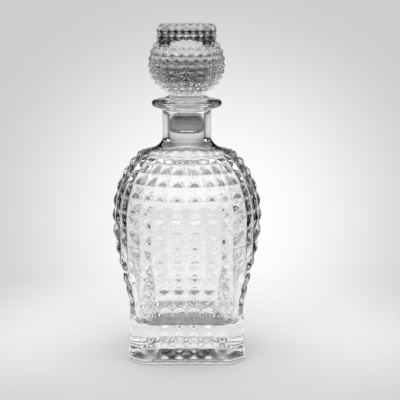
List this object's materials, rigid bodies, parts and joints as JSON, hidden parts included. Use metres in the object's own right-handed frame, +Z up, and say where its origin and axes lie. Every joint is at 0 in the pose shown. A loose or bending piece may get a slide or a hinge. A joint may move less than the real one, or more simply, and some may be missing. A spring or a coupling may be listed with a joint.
{
  "type": "liquor decanter",
  "caption": "Clear glass liquor decanter with a bevelled square foot, a round body covered in diamond points, a flanged neck, and a ball stopper topped by a studded square block",
  "frame": {"origin": "middle of the underside of the bottle's foot, on the plane that the decanter stands on", "axes": "+Z up along the axis of bottle and stopper; X and Y square to the flats of the foot, with -Y facing the picture's camera"},
  "size_m": [0.1114, 0.1114, 0.2463],
  "materials": {
    "bottle_glass": "clear, fire-polished",
    "stopper_glass": "clear, fire-polished"
  },
  "bodies": {
    "bottle": {"bottle": "bottle_glass"},
    "stopper": {"stopper": "stopper_glass"}
  },
  "joints": [
    {"name": "stopper_lift", "type": "slide", "parent": "bottle", "child": "stopper", "axis": [0, 0, 1], "range_m": [0, 0.04]}
  ]
}
